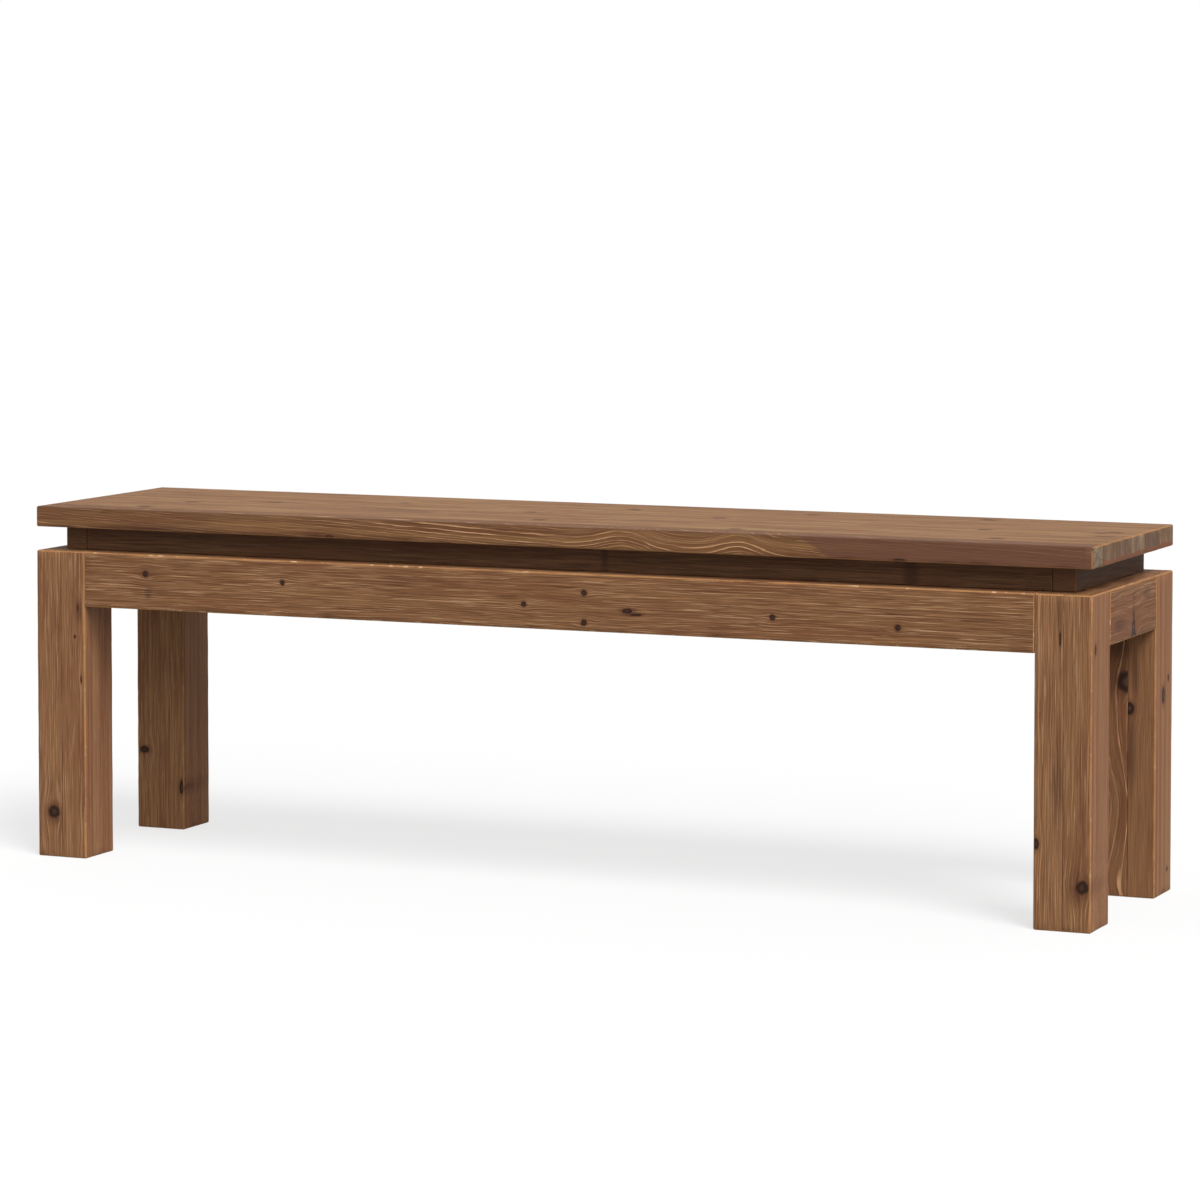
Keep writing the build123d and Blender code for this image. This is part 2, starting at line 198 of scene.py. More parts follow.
def brushed_pine(name, turn, seed, pith, lean, ring=3.4, knots=(), swells=(), stains=(), line=0.8,
                 pale=1.0, dashes=1.0, tone=0.0, bold=1.0, sway=22.0, painted_shade=1.0, rub=1.0, nick=1.0,
                 red=0.6, yellow=0.4, streaked=0.0, sawn=("#8a5f3c", "#6b452c", "#9c7450"),
                 pore=(1.6, 1.6), blot=(15, 9), heart="#47301f", knotty=0.95, striped=0.0, plain=None,
                 foot=None, saw_marks=0.0):
    """Walnut-stained pine, wire brushed and waxed dull: the stain darkens the soft earlywood, so the hard
    latewood stands as thin pale lines, partly their own colour and partly a painted highlight, with a
    painted shade line on one side. The brush leaves broken streaks, partly real and partly painted:
    highlight on the ridges, shade in the furrows. Arrises are rubbed to bare wood. A shade below 1 darkens
    the whole board with painted shade. turn brings the grain to X. pith and knots are in mm of the bench,
    lean is in mm per metre."""
    to_grain = Euler(turn).to_matrix()
    share = Matrix([[abs(x) for x in row] for row in to_grain])
    material = bpy.data.materials.new(name)
    tree = cleared(material)
    place = node(tree, "ShaderNodeTexCoord").node.outputs
    point = node(tree, "ShaderNodeMapping", {"Vector": place["Object"], "Rotation": turn})
    facing = node(tree, "ShaderNodeMapping", {"Vector": place["Normal"], "Rotation": turn},
                  vector_type="NORMAL")
    own_seed = node(tree, "ShaderNodeValue")
    own_seed.default_value = seed

    def part_fibres(moved, near, spot, tight=(1, 1, 1), part=0.0, push=(0, 0, 0)):
        """Sets one branch or swelling into the wood, and returns the moved point and how far off it is."""
        spread = share @ Vector([1 / size for size in spot[3:6]]) / MM
        own = node(tree, "ShaderNodeGroup", {
            "Point": point, "Moved": moved, "Near": near, "Place": to_grain @ Vector(spot[:3]) * MM,
            "Spread": spread, "Reach": spread * Vector(tight), "Part": part,
            "Swell": to_grain @ Vector(push) * MM}, node_tree=branch).node.outputs
        return own["Moved"], own["Near"]

    moved, near = point, FAR
    for spot in knots:
        moved, near = part_fibres(moved, near, spot, (0.3, 0.5, 0.5), spot[6] if len(spot) > 6 else 0.8)
    for spot, push in swells:
        moved = part_fibres(moved, FAR, spot, push=push)[0]
    late, relief_shade, fibre, comb, patch, tint = node(tree, "ShaderNodeGroup", {
        "Point": point, "Moved": moved, "Pith": to_grain @ Vector(pith) * MM,
        "Lean": (0.0, lean[0] * MM, lean[1] * MM), "Ring": ring * MM, "Line": line * MM,
        "Sway": sway * MM, "Seed": seed}, node_tree=rings).node.outputs

    # Stained earlywood, from the deep to the light brown of the fibres, redder and yellower in patches.
    # Real fibres are 0.03 mm thick and too fine to show, so they are drawn 0.95 mm thick.
    hair = drawn_out(tree, moved, (56, 0.95, 0.95), own_seed, 16.0, 1.0)
    body = tone + (1 - 0.9 * bold) / 2
    for pattern, low, high, weight in ((fibre, 0.32, 0.68, 0.22), (comb, 0.25, 0.75, 0.06),
                                       (hair, 0.3, 0.7, 0.62)):
        part = node(tree, MAP_RANGE, {0: pattern, 1: low, 2: high, 4: weight * bold})
        body = node(tree, MATH, {0: part, 1: body}, operation="ADD")
    colour = node(tree, "ShaderNodeValToRGB", {0: body})
    browns = colour.node.color_ramp.elements
    browns.new(0.5)
    for brown, position, hex_colour in zip(browns, (0.15, 0.5, 0.85), ("#593923", "#7b5438", "#9a704b")):
        brown.position = position
        brown.color = linear(hex_colour)
    colour = laid_over(tree, colour, patch, 0.46, 0.66, "#6d412a", red)
    colour = laid_over(tree, colour, tint, 0.5, 0.7, "#8d6640", yellow)
    if streaked:
        wide = drawn_out(tree, moved, (190, 10, 10), own_seed, 24.0, 3.0, 0.6)
        colour = laid_over(tree, colour, wide, 0.5, 0.38, "#5f4029", streaked)
        colour = laid_over(tree, colour, wide, 0.5, 0.62, "#a08357", streaked)
    if striped:
        quartered = node(tree, "ShaderNodeSeparateXYZ", {0: facing}, 2)
        quartered = node(tree, MATH, {0: quartered}, operation="ABSOLUTE")
        quartered = node(tree, MAP_RANGE, {0: quartered, 1: 0.72, 2: 0.9, 4: striped})
        stripes = drawn_out(tree, point, (600, 6.5, 6.5), own_seed, 26.0, 2.0, 0.6)
        side = laid_over(tree, linear("#8a6042"), stripes, 0.48, 0.4, "#7d4d34")
        side = laid_over(tree, side, stripes, 0.53, 0.62, "#986f4d")
        colour = node(tree, MIX, {0: quartered, 6: colour, 7: side}, 2, data_type="RGBA")
        left = node(tree, MAP_RANGE, {0: quartered, 3: 1.0, 4: 0.15})
    for spot in stains:
        stain = part_fibres(moved, FAR, spot)[1]
        colour = laid_over(tree, colour, stain, 1.5, 0.3, "#4f3123", 0.65)

    # The plain end of the front stave lies past a slanting edge that blends over 10 mm. The figure is half
    # as strong at the left, grows full over 250 mm, and fades over 38 mm from the front across the top.
    if plain:
        edge, slope, share_left = plain
        x, y, z = node(tree, "ShaderNodeSeparateXYZ", {0: place["Object"]}).node.outputs
        beyond = node(tree, MATH, {0: z, 1: slope, 2: x}, operation="MULTIPLY_ADD")
        plainness = node(tree, MAP_RANGE, {0: beyond, 1: (edge - 5) * MM, 2: (edge + 5) * MM})
        front = node(tree, MAP_RANGE, {0: y, 1: -136 * MM, 2: -174 * MM, 3: 0.12},
                     interpolation_type="SMOOTHSTEP")
        plainness = node(tree, MATH, {0: plainness, 1: front}, operation="MULTIPLY")
        left = node(tree, MAP_RANGE, {0: plainness, 3: 1.0, 4: share_left})
        calm = node(tree, MAP_RANGE, {0: x, 1: -400 * MM, 2: -150 * MM, 3: 0.5})
        for share_of in (front, calm):
            left = node(tree, MATH, {0: left, 1: share_of}, operation="MULTIPLY")

    # Latewood: broken pale lines, partly their own colour and partly a painted highlight on the raised
    # latewood, with a painted shade line on one side. Between them lie the streaks that the brush leaves,
    # partly real and partly painted: the pale ones as painted highlight on the ridges, the dark ones as
    # painted shade in the furrows. Real streaks are about 0.3 mm wide and too fine to show, so they are
    # drawn
    # 0.8 mm wide.
    broken = drawn_out(tree, moved, (60, 2.6, 2.6), own_seed, 2.0)
    broken = node(tree, MAP_RANGE, {0: broken, 1: 0.42, 2: 0.56, 3: 0.25, 4: 1.0})
    brush_and_ridge_light = drawn_out(tree, moved, (56, 0.8, 0.8), own_seed, 12.0, 1.0)
    marks = [node(tree, MATH, {0: mark, 1: broken}, operation="MULTIPLY")
             for mark in (relief_shade, late)]
    marks += [node(tree, MAP_RANGE, {0: brush_and_ridge_light, 1: none, 2: full})
              for none, full in ((0.38, 0.33), (0.61, 0.66))]
    if striped or plain:
        marks = [node(tree, MATH, {0: mark, 1: left}, operation="MULTIPLY") for mark in marks]
    if plain:
        colour = laid_over(tree, colour, plainness, 0.0, 1.0, "#674436", 0.75)
    # Painted shade and highlight: the dark line beside the latewood, the pale latewood, and the dark and
    # pale streaks
    for mark, over, strength in zip(marks, ("#4c3020", "#c9986e", "#4c3020", "#c59c76"),
                                    (0.4 * pale, 0.75 * pale, 0.45 * dashes, 0.7 * dashes)):
        strength = node(tree, MATH, {0: mark, 1: strength}, operation="MULTIPLY")
        colour = node(tree, MIX, {0: strength, 6: colour, 7: linear(over)}, 2, data_type="RGBA")

    # Sawn ends drink more stain where they are soft, and stay a dusty beige where they are hard
    pores = drawn_out(tree, point, (40, *pore), own_seed, 4.0, 2.0, 0.6)
    blots = drawn_out(tree, point, (40, *blot), own_seed, 14.0, 2.0, 0.6)
    end_colour = laid_over(tree, linear(sawn[0]), blots, 0.4, 0.62, sawn[1])
    end_colour = laid_over(tree, end_colour, pores, 0.3, 0.7, sawn[2], 0.6)
    end_colour = laid_over(tree, end_colour, late, 0.0, 1.0, "#4c3527", 0.35)
    if foot:
        level, foot_colour, glue, struck = foot
        strokes = drawn_out(tree, point, (40, 2.8, 40), own_seed, 22.0, 2.0, 0.6)
        end_colour = laid_over(tree, end_colour, strokes, 0.46, 0.36, "#433126", struck)
        end_colour = laid_over(tree, end_colour, strokes, 0.55, 0.65, "#a1876a", struck)
        height = node(tree, "ShaderNodeSeparateXYZ", {0: place["Object"]}, 2)
        wave = drawn_out(tree, point, (40, 22, 22), own_seed, 18.0, 2.0)
        height = node(tree, MATH, {0: wave, 1: 12 * MM, 2: height}, operation="MULTIPLY_ADD")
        end_colour = laid_over(tree, end_colour, height, (level + 7.2) * MM, (level + 4.8) * MM,
                               foot_colour, 0.85)
        across = node(tree, "ShaderNodeSeparateXYZ", {0: point}, 1)
        across = node(tree, MATH, {0: across, 1: glue * MM}, operation="SUBTRACT")
        end_colour = laid_over(tree, end_colour, across, 3.2 * MM, 1.2 * MM, "#3d2e26", 0.6)
    ends = node(tree, "ShaderNodeSeparateXYZ", {0: facing})
    ends = node(tree, MATH, {0: ends}, operation="ABSOLUTE")
    colour = laid_over(tree, colour, ends, 0.72, 0.9, end_colour)

    # Knots: a red-brown halo, a dark rim and a grey-brown heart
    if knots:
        ragged = drawn_out(tree, point, (6, 3, 3), own_seed, 6.0, 3.0, 0.6)
        near = node(tree, MATH, {0: ragged, 1: 0.75, 2: near}, operation="MULTIPLY_ADD")
        colour = laid_over(tree, colour, near, 2.6, 1.2, "#5f3925", 0.55)
        knot = node(tree, "ShaderNodeValToRGB", {0: near})
        darks = knot.node.color_ramp.elements
        for dark, position, hex_colour in zip(darks, (0.62, 0.92), (heart, "#251510")):
            dark.position = position
            dark.color = linear(hex_colour)
        colour = laid_over(tree, colour, near, 1.6, 1.15, knot, knotty)

    # Rubbed arrises: the stain has gone, in an orange tan line with pale nicks. A crisp arris instead gets a
    # dark line, a painted shadow along its edge.
    arris = node(tree, "ShaderNodeAttribute", {}, "Fac", attribute_name="arris")
    colour = laid_over(tree, colour, arris, -0.35, -0.75, "#5f4231", 0.7)
    worn = node(tree, MAP_RANGE, {0: arris, 1: 0.35, 2: 0.75})
    rubbed = drawn_out(tree, point, (26, 26, 26), own_seed, 8.0)
    nicks = drawn_out(tree, point, (11, 11, 11), own_seed, 10.0, 3.0)
    for mask, low, high, least, most, over in ((rubbed, 0.35, 0.62, 0.45 * rub, 0.95 * rub, "#b58150"),
                                               (nicks, 0.58, 0.65, 0.0, 0.7 * nick, "#dcb892")):
        mask = node(tree, MAP_RANGE, {0: mask, 1: low, 2: high, 3: least, 4: most})
        mask = node(tree, MATH, {0: mask, 1: worn}, operation="MULTIPLY")
        colour = node(tree, MIX, {0: mask, 6: colour, 7: linear(over)}, 2, data_type="RGBA")

    # The brush leaves the latewood and the fibres standing about a third of a millimetre proud
    height = node(tree, MATH, {0: fibre, 1: 2.8}, operation="MULTIPLY")
    for mark in (late, marks[-1]):
        height = node(tree, MATH, {0: mark, 1: 0.8, 2: height}, operation="MULTIPLY_ADD")
    if saw_marks:
        teeth = drawn_out(tree, point, (1.5, 60, 60), own_seed, 20.0, 1.0)
        colour = laid_over(tree, colour, teeth, 0.35, 0.65, "#8a6445", 0.3 * saw_marks)
        height = node(tree, MATH, {0: teeth, 1: 2.6, 2: height}, operation="MULTIPLY_ADD")
    # Painted shade: the whole colour is mixed towards a dark grey, for a board that stands in shade
    if painted_shade < 1.0:
        colour = node(tree, MIX, {0: 1.0 - painted_shade, 6: colour, 7: linear("#211f1f")}, 2,
                      data_type="RGBA")
    bump = node(tree, "ShaderNodeBump", {"Height": height, "Strength": 0.6, "Distance": 0.35 * MM})
    rough = node(tree, MAP_RANGE, {0: fibre, 1: 0.3, 2: 0.7, 3: 0.6, 4: 0.76})
    shader = node(tree, "ShaderNodeBsdfPrincipled",
                  {"Base Color": colour, "Roughness": rough, "Normal": bump, "IOR": 1.5,
                   "Specular IOR Level": 0.14})
    node(tree, "ShaderNodeOutputMaterial", {0: shader})
    return material


def set_up(name, data):
    """A new object, put into the scene."""
    thing = bpy.data.objects.new(name, data)
    bpy.context.scene.collection.objects.link(thing)
    return thing


EASE = 1.5 * MM  # the width of the bevel that the CAD boards have along their arrises
TOUCH = 0.05 * MM  # a vertex as near as this is on the face
MERGE = 0.001 * MM
MARGIN = 0.6 * MM  # the first and the last cut keep this far from the bevel
STRIP, STATION = 4 * MM, 9 * MM  # the distance from cut to cut, across the grain and along it
HOLLOW_LONG, HOLLOW_WIDE, HOLLOW_DEEP = 90.0, 7.0, 0.11  # the brush's hollows and their mean depth, in mm
RUB_LONG, NICK_LONG = 35 * MM, 14 * MM  # how far apart the worn places and the nicks of an arris lie


def dressed_board(name, grain, shows, seed, shoulder=0.0, crisp_shadow_line=(), inner=()):
    """A copy of the CAD board, cut into fine strips, with its show faces brushed and its arrises rubbed.
    shows holds (axis, side) pairs. The arris between the two crisp faces stays sharp and is not rubbed;
    it gets a painted shadow line instead. The arrises of the faces in inner keep their stain. shoulder is
    the length of the tenon that stands out at each end."""
    low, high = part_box(name)
    mesh = bmesh.new()
    mesh.from_mesh(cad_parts[name].data)
    bmesh.ops.remove_doubles(mesh, verts=mesh.verts, dist=MERGE)
    bmesh.ops.dissolve_limit(mesh, angle_limit=radians(1), verts=mesh.verts, edges=mesh.edges)
    low[grain] += shoulder
    high[grain] -= shoulder
    for axis in [a for a in range(3) if a != grain]:
        first, last = low[axis] + EASE + MARGIN, high[axis] - EASE - MARGIN
        count = max(2, round((last - first) / STRIP))
        normal = Vector([float(a == axis) for a in range(3)])
        for step in range(count + 1):
            cut = first + (last - first) * step / count
            bmesh.ops.bisect_plane(mesh, geom=mesh.verts[:] + mesh.edges[:] + mesh.faces[:], dist=MERGE,
                                   plane_co=normal * cut, plane_no=normal)
    first, last = low[grain] + EASE + MARGIN, high[grain] - EASE - MARGIN
    count = round((last - first) / STATION)
    normal = Vector([float(a == grain) for a in range(3)])
    rest = mesh.verts[:] + mesh.edges[:] + mesh.faces[:]
    for step in range(count + 1):
        cut = first + (last - first) * step / count
        found = bmesh.ops.bisect_plane(mesh, geom=rest, dist=MERGE, plane_co=normal * cut, plane_no=normal)
        rest = []
        for item in found["geom"]:
            corners = [item] if isinstance(item, bmesh.types.BMVert) else item.verts
            if all(corner.co[grain] > cut - TOUCH for corner in corners):
                rest.append(item)

    arris = mesh.verts.layers.float.new("arris")
    length = Vector([HOLLOW_LONG if a == grain else HOLLOW_WIDE for a in range(3)]) * MM
    offset = Vector((seed * 3.7, seed * 1.9, seed * 5.3))
    for vert in mesh.verts:
        near = []
        on = []
        for axis, side in shows:
            gap = (high[axis] - vert.co[axis]) if side > 0 else (vert.co[axis] - low[axis])
            if -TOUCH < gap < EASE + TOUCH:
                near.append((axis, side))
                if gap < TOUCH:
                    on.append((axis, side))
        if not on:
            continue
        spot = Vector([vert.co[a] / length[a] for a in range(3)]) + offset
        push = Vector((0.0, 0.0, 0.0))
        if len(near) > 1:
            rub = noise.noise(vert.co / RUB_LONG + offset)
            nick = max(0.0, noise.noise(vert.co / NICK_LONG - offset) - 0.35)
            # A crisp arris stays sharp, and its value of -1 gives it a painted shadow line in the material
            shadow_lined = set(near) == set(crisp_shadow_line)
            depth = 0.0 if shadow_lined else 0.22 + 0.25 * rub + 1.6 * nick
            for axis, side in near:
                push[axis] -= side * max(0.02, depth) * MM
            vert[arris] = -1.0 if shadow_lined else min(1.0, 0.8 + 0.3 * rub + nick)
            if set(near) & set(inner):
                vert[arris] = 0.0
        else:
            axis, side = on[0]
            push[axis] -= side * (HOLLOW_DEEP + HOLLOW_DEEP * noise.noise(spot)) * MM
        vert.co += push
    piece_mesh = bpy.data.meshes.new(name + "_brushed")
    mesh.to_mesh(piece_mesh)
    mesh.free()
    piece_mesh.polygons.foreach_set("use_smooth", [True] * len(piece_mesh.polygons))
    piece_mesh.set_sharp_from_angle(angle=radians(50))
    return set_up(name + "_brushed", piece_mesh)


def middle_of(name):
    """The middle of a CAD piece, in millimetres."""
    low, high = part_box(name)
    return (low + high) / 2 / MM


# Each knot and stain has its place and its half sizes. A seventh number is how far the fibres part.
LEG_KNOTS = {
    "front_left_outer": [(-725.0, -175, 62, 8.5, 60, 8.5)],
    "front_left_inner": [(-685.9, -175, 343.2, 1.2, 30, 5), (-681.3, -175, 245.5, 1.2, 30, 5),
                         (-690.6, -175, 303.6, 1.6, 30, 2)],
    "front_right_outer": [(738.5, -175, 57, 8, 60, 8.5), (750, -161.1, 351.3, 30, 3.2, 6.5),
                          (720, -116, 430, 2.2, 10, 30)],
    "front_right_inner": [(678.5, -175, 108, 4, 60, 7.5), (708.8, -175, 364.6, 1.3, 60, 9, 0.3)],
    "back_left_outer": [(-738.3, 100, 111.6, 7, 60, 5)],
    "back_left_inner": [(-678.8, 100, 61, 3.6, 60, 10)],
    "back_right_outer": [(715.0, 100, 246.1, 6.5, 60, 8), (750, 134.5, 260.6, 20, 6.5, 11),
                         (750, 156.5, 281.4, 20, 3, 4.5), (750, 156.5, 31.2, 20, 3, 3)],
    "back_right_inner": [(711.0, 100, 280.4, 13, 60, 14)],
}
LEG_STAINS = {
    "front_right_inner": [(708, -175, 398, 3.5, 60, 26), (706, -175, 180, 7, 60, 50)],
    "front_right_outer": [(736, -162, 420, 9, 6, 8), (735, -175, 57, 15, 60, 22)],
    "front_left_outer": [(-723, -175, 60, 15, 60, 19)],
    "front_left_inner": [(-684, -175, 338, 5, 60, 18)],
    "back_right_inner": [(700, 100, 330, 16, 60, 22)],
    "back_right_outer": [(722, 100, 290, 5, 60, 34), (716, 100, 190, 8, 60, 50)],
}
LEG_SWELLS = {
    "back_right_inner": [((694, 100, 215, 20, 60, 62), (9, 0, 0)),
                         ((700, 100, 120, 20, 60, 46), (-9, 0, 0)), ((694, 100, 22, 13, 60, 30), (9, 0, 0))],
}
LEG_TONES = {"back_right_outer": 0.1, "back_right_inner": -0.02, "back_left_outer": 0.16,
             "back_left_inner": 0.2}
LEG_WOOD = {
    "back_right_outer": {"pale": 0.1, "dashes": 0.15, "bold": 0.45},
    "back_right_inner": {"ring": 8.0, "line": 1.0, "pale": 1.1, "dashes": 0.3, "bold": 0.6},
}
for corner, (right, back) in {"front_left": (-1, -1), "front_right": (1, -1), "back_left": (-1, 1),
                              "back_right": (1, 1)}.items():
    for half in ("outer", "inner"):
        board = f"{corner}_{half}"
        name = f"leg_{board}_stave"
        luck = Random(board)
        seed = round(luck.uniform(1, 90), 2)
        side = right if half == "outer" else -right
        leg_board = dressed_board(name, 2, [(0, side), (1, -1), (1, 1), (2, 1), (2, -1)], seed)
        middle = middle_of(name)
        pith = (middle.x + luck.choice((-1, 1)) * luck.uniform(55, 90), middle.y + luck.uniform(-18, 18),
                0.0)
        wood = {"ring": luck.uniform(4.0, 5.2), "pale": 0.5, "dashes": 0.75, "bold": 0.74,
                **LEG_WOOD.get(board, {})}
        lean = (luck.uniform(-9, 9), luck.uniform(-9, 9))
        leg_board.data.materials.append(
            brushed_pine(f"brushed_pine_leg_{board}", ALONG_Z, seed, pith, lean,
                         knots=LEG_KNOTS.get(board, ()), swells=LEG_SWELLS.get(board, ()),
                         stains=LEG_STAINS.get(board, ()), tone=LEG_TONES.get(board, 0.13), sway=12.0,
                         striped=0.7, rub=0.85, nick=0.3, blot=(48, 5),
                         heart="#4a3625" if corner == "back_right" else "#3d281c", **wood)
        )
        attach(leg_board, "root")
        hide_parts(name)

# Aprons: four pine boards on edge, let into the legs by stub tenons and flush with their faces. The long
# ones are 75 mm high and the end ones 70 mm. Their rubbed top arris shows as a dashed pale line.
APRON_KNOTS = {
    "apron_front": [(-580.5, -175, 393.8, 4, 60, 4.5), (-372.5, -175, 390.3, 3.5, 60, 3.5),
                    (-19.5, -175, 376.9, 3.5, 60, 3.8), (65.9, -175, 394.9, 4, 60, 4),
                    (65.9, -175, 356.6, 4, 60, 4.2), (127, -175, 374, 7.5, 60, 3.2),
                    (139.5, -175, 369.6, 8, 60, 1.6), (327.2, -175, 374.8, 3.8, 60, 3.8),
                    (496, -175, 369.1, 4, 60, 4)],
    "apron_back": [(-410, 175, 371, 5, 60, 5), (-133, 175, 402, 4, 60, 4), (212, 175, 384, 6, 60, 6),
                   (508, 175, 359, 4, 60, 5)],
    "apron_left": [(-750, -41, 398, 60, 4, 4), (-750, 58, 371, 60, 5, 5)],
    "apron_right": [(750, 0.3, 351, 60, 10, 10, 0.15), (750, 0.3, 363, 60, 6.5, 11, 0.15),
                    (750, 0.3, 374, 60, 3.4, 10, 0.15)],
}
APRON_SWELLS = {"apron_right": [((750, 0.3, 355, 60, 26, 34), (0, 0, 14))]}
APRON_STAINS = {
    "apron_front": [(132, -175, 372, 15, 60, 5), (-576, -175, 368, 6, 60, 8), (-577, -175, 366, 4, 60, 6)],
    "apron_right": [(750, 0.3, 394, 60, 6, 18), (750, 60, 400, 60, 16, 10), (750, -60, 372, 60, 22, 9),
                    (727, -62, 420, 9, 26, 8), (731, 28, 420, 7, 34, 8)],
}
APRONS = {
    "apron_front": (0, (1, -1), ALONG_X, (0, -150, 292), (5, 4), 4.2),
    "apron_back": (0, (1, 1), ALONG_X, (0, 152, 470), (-4, 6), 4.2),
    "apron_left": (1, (0, -1), ALONG_Y, (-690, 0, 392), (8, 4), 3.4),
    "apron_right": (1, (0, 1), ALONG_Y, (672, 0, 372), (-9, 12), 3.3),
}
TENON = 30 * MM
for name, (grain, (axis, side), turn, pith, lean, ring) in APRONS.items():
    seed = 13.0 + 7.3 * len(name) + side
    shows = [(axis, side), (axis, -side), (2, 1), (2, -1), (grain, 1), (grain, -1)]
    apron = dressed_board(name, grain, shows, seed, shoulder=TENON, inner=[(axis, -side)])
    apron.data.materials.append(
        brushed_pine(f"brushed_pine_{name}", turn, seed, pith, lean, ring, APRON_KNOTS[name],
                     APRON_SWELLS.get(name, ()), APRON_STAINS.get(name, ()), tone=-0.05 if grain else -0.01,
                     pale=0.45, dashes=0.35 if grain else 1.0, sway=12.0, rub=0.8, yellow=0.3,
                     heart="#594634" if grain else "#3d281c")
    )
    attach(apron, "root")
    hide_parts(name)

# Cross rails: two pine rails, 45 mm square, stub tenoned between the long aprons. They are sawn and dipped
# in the stain but never brushed, and two long screws run up through each, in counterbores.


def set_sawn_pine(name, turn, seed, above, lean):
    """Gives a CAD piece sawn pine, dipped in the same stain: dull and even, crossed by the faint marks of
    the band saw. The pith lies the given height above the middle of the piece, in millimetres."""
    pith = middle_of(name) + Vector((0, 0, above))
    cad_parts[name].material_slots[0].material = brushed_pine(
        f"sawn_pine_{name}", turn, seed, pith, lean, 4.6, pale=0.4, dashes=0.1, tone=-0.02, rub=0.0,
        nick=0.0, sway=16.0, saw_marks=0.7)


for name in ("cross_rail_left", "cross_rail_right"):
    set_sawn_pine(name, ALONG_Y, 71.0 + middle_of(name).x / 100, -30, (4, 3))

# Corner braces: mitred pine blocks with a tongue at each end, let into the grooves of two aprons. A bolt
# draws the leg up against the aprons through each.
BRACES = {"corner_brace_front_left": 45, "corner_brace_front_right": -45, "corner_brace_back_left": -45,
          "corner_brace_back_right": 45}
for number, (name, quarter) in enumerate(BRACES.items()):
    set_sawn_pine(name, (0.0, 0.0, radians(quarter)), 80.0 + number, -38, (6, 2))

# Hanger bolts: zinc-plated steel, 8 mm thick, with a coarse wood thread turned into the leg and a rolled
# metric thread that stands out through the brace.


def zinc(name, hex_colour, hex_stain, rough):
    """Bright zinc plate on steel: a pale, faintly clouded metal that the barrel has dulled unevenly."""
    material = bpy.data.materials.new(name)
    tree = cleared(material)
    place = node(tree, "ShaderNodeTexCoord", {}, "Object")
    seed = node(tree, "ShaderNodeValue")
    clouds = drawn_out(tree, place, (3.5, 3.5, 3.5), seed, 1.0, 3.0, 0.6)
    clouds = node(tree, MAP_RANGE, {0: clouds, 1: 0.35, 2: 0.65})
    colour = node(tree, MIX, {0: clouds, 6: linear(hex_colour), 7: linear(hex_stain)}, 2,
                  data_type="RGBA")
    gloss = node(tree, MAP_RANGE, {0: clouds, 3: rough, 4: rough + 0.16})
    shader = node(tree, "ShaderNodeBsdfPrincipled",
                  {"Base Color": colour, "Roughness": gloss, "Metallic": 1.0})
    node(tree, "ShaderNodeOutputMaterial", {0: shader})
    return material


def fastener_tree(name, sizes):
    """A geometry tree that takes points, sizes and a metal, and what it is given."""
    return new_group(name, {"Spots": "Geometry", **{size: "Float" for size in sizes}, "Metal": "Material"},
                     {"Pieces": "Geometry"}, "GeometryNodeTree")


def set_in_place(tree, given, shape):
    """Ends a tree: the shape stands at every point and faces its way, made real and of the metal."""
    way = node(tree, "GeometryNodeInputNamedAttribute", {"Name": "toward"}, data_type="FLOAT_VECTOR")
    turned = node(tree, "FunctionNodeAlignRotationToVector", {"Vector": way}, axis="Z")
    placed = node(tree, "GeometryNodeInstanceOnPoints",
                  {"Points": given["Spots"], "Instance": shape, "Rotation": turned})
    real = node(tree, "GeometryNodeRealizeInstances", {0: placed})
    metal = node(tree, "GeometryNodeSetMaterial", {"Geometry": real, "Material": given["Metal"]})
    node(tree, "NodeGroupOutput", {"Pieces": metal})


def fasten(name, tree, spots, ways, sizes, metal, replaced):
    """One piece of like fasteners. A point stands at each spot, with the way that its head faces."""
    mesh = bpy.data.meshes.new(name)
    mesh.from_pydata([Vector(spot) * MM for spot in spots], [], [])
    toward = mesh.attributes.new("toward", "FLOAT_VECTOR", "POINT")
    toward.data.foreach_set("vector", [share for way in ways for share in Vector(way).normalized()])
    piece = set_up(name, mesh)
    maker = piece.modifiers.new(name, "NODES")
    maker.node_group = tree
    for item in tree.interface.items_tree:
        if item.name in sizes:
            maker[item.identifier] = sizes[item.name] * MM
        elif item.name == "Metal":
            maker[item.identifier] = metal
    solid = bpy.data.meshes.new_from_object(piece.evaluated_get(bpy.context.evaluated_depsgraph_get()))
    piece.modifiers.clear()
    piece.data = solid
    solid.polygons.foreach_set("use_smooth", [True] * len(solid.polygons))
    solid.set_sharp_from_angle(angle=radians(25))
    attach(piece, "root")
    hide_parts(replaced)


def raised(tree, shape, level):
    """The shape, moved up its axis to the level."""
    lift = node(tree, "ShaderNodeCombineXYZ", {"Z": level})
    return node(tree, "GeometryNodeTransform", {"Geometry": shape, "Translation": lift})


def lathed(tree, sides, bottom, top, length, level=0.0):
    """A straight or tapered round, given its radii at the bottom and the top, that stands on the level."""
    return raised(tree, node(tree, "GeometryNodeMeshCone", {"Vertices": sides, "Radius Bottom": bottom,
                                                            "Radius Top": top, "Depth": length}), level)


